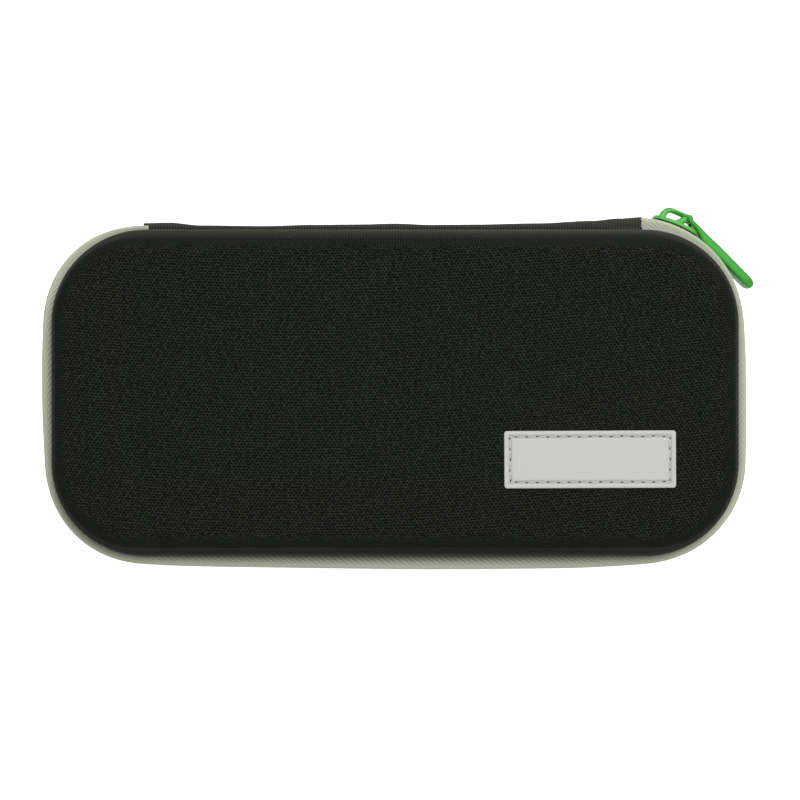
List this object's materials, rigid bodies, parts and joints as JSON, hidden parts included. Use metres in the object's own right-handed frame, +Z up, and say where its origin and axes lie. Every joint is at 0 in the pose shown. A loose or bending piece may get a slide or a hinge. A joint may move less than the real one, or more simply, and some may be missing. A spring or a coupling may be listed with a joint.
{
  "type": "otoscope carry case",
  "caption": "Semi-rigid moulded clamshell case with a cloth spine, a zip on three sides, a fitted foam insert and a net pocket in the lid.",
  "frame": {"origin": "middle of the base's flat face, on the surface that the case lies on", "axes": "+X along the case's length, +Y to the cloth spine, +Z up to the lid"},
  "size_m": [0.2387, 0.1213, 0.0572],
  "materials": {
    "shell_cloth": "plain woven polyester bonded to moulded foam",
    "lining_cloth": "brushed knit",
    "binding_tape": "grosgrain",
    "zip_tape": "twill woven",
    "coil_nylon": "moulded nylon",
    "spine_cloth": "fine ribbed weave",
    "insert_foam": "closed-cell foam",
    "insert_cloth": "brushed knit",
    "net": "open net",
    "elastic": "woven elastic",
    "label_plastic": "soft moulded plastic",
    "label_thread": "twisted thread",
    "slider_enamel": "semi-gloss enamel",
    "pull_plastic": "moulded, semi-gloss"
  },
  "bodies": {
    "base": {"base_shell": "shell_cloth", "base_lining": "lining_cloth", "base_binding": "binding_tape", "base_zip_tape": "zip_tape", "base_zip_coil": "coil_nylon", "base_top_stop": "coil_nylon", "base_bottom_stop": "coil_nylon", "spine_lower": "spine_cloth", "foam_insert": "insert_foam", "insert_cover": "insert_cloth"},
    "lid": {"lid_shell": "shell_cloth", "lid_lining": "lining_cloth", "lid_binding": "binding_tape", "lid_zip_tape": "zip_tape", "lid_zip_tape_end": "zip_tape", "lid_zip_coil": "coil_nylon", "lid_zip_coil_end": "coil_nylon", "lid_top_stop": "coil_nylon", "spine_upper": "spine_cloth", "mesh_pocket": "net", "pocket_elastic": "elastic", "label_patch": "label_plastic", "label_stitching": "label_thread"},
    "slider": {"slider_body": "slider_enamel", "slider_bridge": "slider_enamel"},
    "pull": {"pull_tab": "pull_plastic"}
  },
  "joints": [
    {"name": "lid_hinge", "type": "hinge", "parent": "base", "child": "lid", "pos_m": [0, 0.0591, 0.028], "axis": [-1, 0, 0], "range_deg": [0, 178], "deforming": ["lid_zip_tape_end", "lid_zip_coil_end"]},
    {"name": "slider_travel", "type": "hinge", "parent": "base", "child": "slider", "pos_m": [0.0791, 0.0197, 0.028], "axis": [0, 0, 1], "range_deg": [-40, 3]},
    {"name": "pull_swing", "type": "hinge", "parent": "slider", "child": "pull", "pos_m": [0.09919, 0.05879, 0.028], "axis": [0, 0, 1], "range_deg": [0, 80]}
  ]
}
